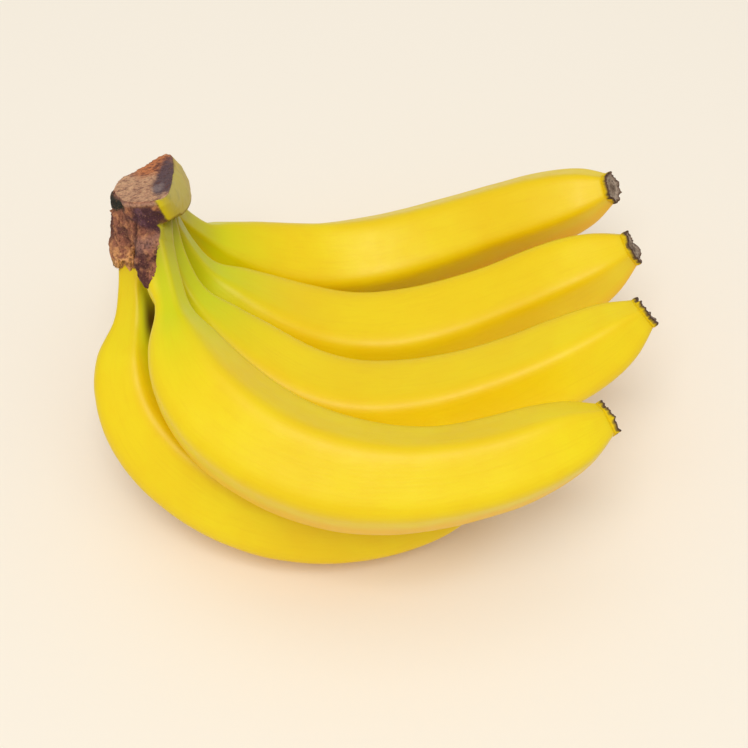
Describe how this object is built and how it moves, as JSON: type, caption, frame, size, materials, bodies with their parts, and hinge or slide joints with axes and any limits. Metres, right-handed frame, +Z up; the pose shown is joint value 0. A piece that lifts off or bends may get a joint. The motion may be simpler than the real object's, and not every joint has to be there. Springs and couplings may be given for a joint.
{
  "type": "hand of bananas",
  "caption": "Ripe yellow bananas growing from one cut crown, lying on the table with their dried blossom ends to the side.",
  "frame": {"origin": "centre of the hand's bounding box, on the table it lies on", "axes": "+X from the crown to the blossom ends, +Y to the far side of the hand, +Z up"},
  "size_m": [0.2006, 0.1802, 0.112],
  "materials": {
    "peel": null,
    "crown_cork": "matt, dried corky stalk",
    "dried_end": "matt, dried blossom remains"
  },
  "bodies": {
    "root": {"crown": "crown_cork", "banana_1": "peel", "banana_2": "peel", "banana_3": "peel", "banana_4": "peel", "banana_5": "peel", "blossom_end_1": "dried_end", "blossom_end_2": "dried_end", "blossom_end_3": "dried_end", "blossom_end_4": "dried_end", "blossom_end_5": "dried_end"}
  },
  "joints": []
}
